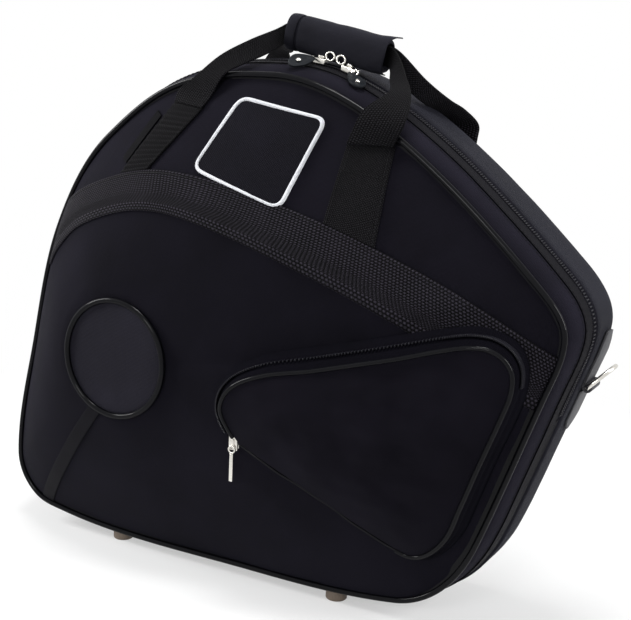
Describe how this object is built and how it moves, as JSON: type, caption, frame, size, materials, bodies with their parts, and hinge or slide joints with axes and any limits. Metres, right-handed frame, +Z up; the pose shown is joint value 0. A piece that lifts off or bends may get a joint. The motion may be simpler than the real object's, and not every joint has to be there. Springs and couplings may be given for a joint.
{
  "type": "french horn case",
  "caption": "Zipped soft case for a french horn, standing on glides, with a domed lid, outer pocket, padded double handle, strap rings and foam bed.",
  "frame": {"origin": "on the floor, under the middle of the bounding box", "axes": "+X to the right of the lid's front, +Y to the back, +Z up"},
  "size_m": [0.5802, 0.1852, 0.5009],
  "materials": {
    "cloth": "fine plain-woven nylon, near black with a navy tint",
    "panel": "fine diagonal twill",
    "webbing": "ribbed nylon webbing",
    "piping": "glossy black cord",
    "foam": "plush-covered foam",
    "thread": "white satin-stitched edge",
    "leather": "smooth black leather",
    "vinyl": "grained dark grey vinyl",
    "teeth": "nylon coil",
    "nickel": "polished nickel",
    "glide": "matt brown-grey"
  },
  "bodies": {
    "rear_half": {"rear_shell": "cloth", "rear_foam_bed": "foam", "bed_strap_upper": "webbing", "bed_strap_lower": "webbing", "rear_zip_teeth": "teeth", "hinge_gusset": "webbing", "rear_strap_left": "webbing", "rear_strap_right": "webbing", "ring_tab_right_upper": "vinyl", "ring_tab_right_lower": "vinyl", "ring_tab_left_upper": "vinyl", "ring_tab_left_lower": "vinyl", "foot_rear_left": "glide", "foot_rear_right": "glide"},
    "rear_handle": {"rear_handle_loop": "webbing", "handle_wrap": "cloth"},
    "ring_right": {"dring_right": "nickel"},
    "ring_left": {"dring_left": "nickel"},
    "lid": {"lid_shell": "cloth", "lid_foam_ring": "foam", "front_piping": "piping", "front_zip_tape": "webbing", "front_zip_teeth": "teeth", "disc_panel": "panel", "disc_piping": "piping", "disc_strip": "webbing", "front_band": "webbing", "front_strap_left": "webbing", "front_strap_right": "webbing", "patch_field": "panel", "patch_border": "thread", "label_tab": "webbing", "pocket_gusset": "cloth", "pocket_zip_teeth": "teeth", "pocket_slider": "nickel", "foot_front_left": "glide", "foot_front_right": "glide"},
    "front_handle": {"front_handle_loop": "webbing"},
    "pocket_flap": {"pocket_front": "panel", "pocket_piping": "piping"},
    "pocket_pull": {"pocket_pull": "nickel"},
    "slider_left": {"slider_left": "nickel"},
    "slider_right": {"slider_right": "nickel"},
    "pull_left": {"pull_left": "leather"},
    "pull_right": {"pull_right": "leather"}
  },
  "joints": [
    {"name": "lid_hinge", "type": "hinge", "parent": "rear_half", "child": "lid", "pos_m": [0.22216, 0.01482, 0.0796], "axis": [0.324, 0, 0.9461], "range_deg": [0, 120], "deforming": ["hinge_gusset", "handle_wrap"]},
    {"name": "front_handle_swing", "type": "hinge", "parent": "lid", "child": "front_handle", "pos_m": [-0.0578, -0.0425, 0.4191], "axis": [0.9903, 0.0235, -0.1367], "range_deg": [0, 110], "deforming": ["handle_wrap"]},
    {"name": "rear_handle_swing", "type": "hinge", "parent": "rear_half", "child": "rear_handle", "pos_m": [0.0164, 0.0899, 0.4002], "axis": [-0.9912, 0, 0.132], "range_deg": [0, 100], "deforming": ["handle_wrap"]},
    {"name": "ring_right_swing", "type": "hinge", "parent": "rear_half", "child": "ring_right", "pos_m": [0.26988, 0.05082, 0.21479], "axis": [0, 1, 0], "range_deg": [-15, 135]},
    {"name": "ring_left_swing", "type": "hinge", "parent": "rear_half", "child": "ring_left", "pos_m": [-0.26208, 0.05082, 0.24431], "axis": [0, 1, 0], "range_deg": [-135, 15]},
    {"name": "pocket_flap_fold", "type": "hinge", "parent": "lid", "child": "pocket_flap", "pos_m": [0.01726, -0.0768, 0.1428], "axis": [0.8655, 0.1896, -0.4636], "range_deg": [0, 70]},
    {"name": "pocket_pull_swing", "type": "hinge", "parent": "lid", "child": "pocket_pull", "pos_m": [0.00525, -0.0757, 0.1457], "axis": [-1, 0, 0], "range_deg": [0, 90]},
    {"name": "slider_left_travel", "type": "hinge", "parent": "lid", "child": "slider_left", "pos_m": [0.002, 0.0148, 0.2698], "axis": [0, 1, 0], "range_deg": [-6, 0]},
    {"name": "slider_right_travel", "type": "hinge", "parent": "lid", "child": "slider_right", "pos_m": [0.002, 0.0148, 0.2698], "axis": [0, 1, 0], "range_deg": [0, 8]},
    {"name": "pull_left_lift", "type": "hinge", "parent": "slider_left", "child": "pull_left", "pos_m": [0.02827, 0.0009, 0.46184], "axis": [0, 1, 0], "range_deg": [0, 60]},
    {"name": "pull_right_lift", "type": "hinge", "parent": "slider_right", "child": "pull_right", "pos_m": [0.04861, 0.0009, 0.45793], "axis": [0, -1, 0], "range_deg": [0, 60]}
  ]
}
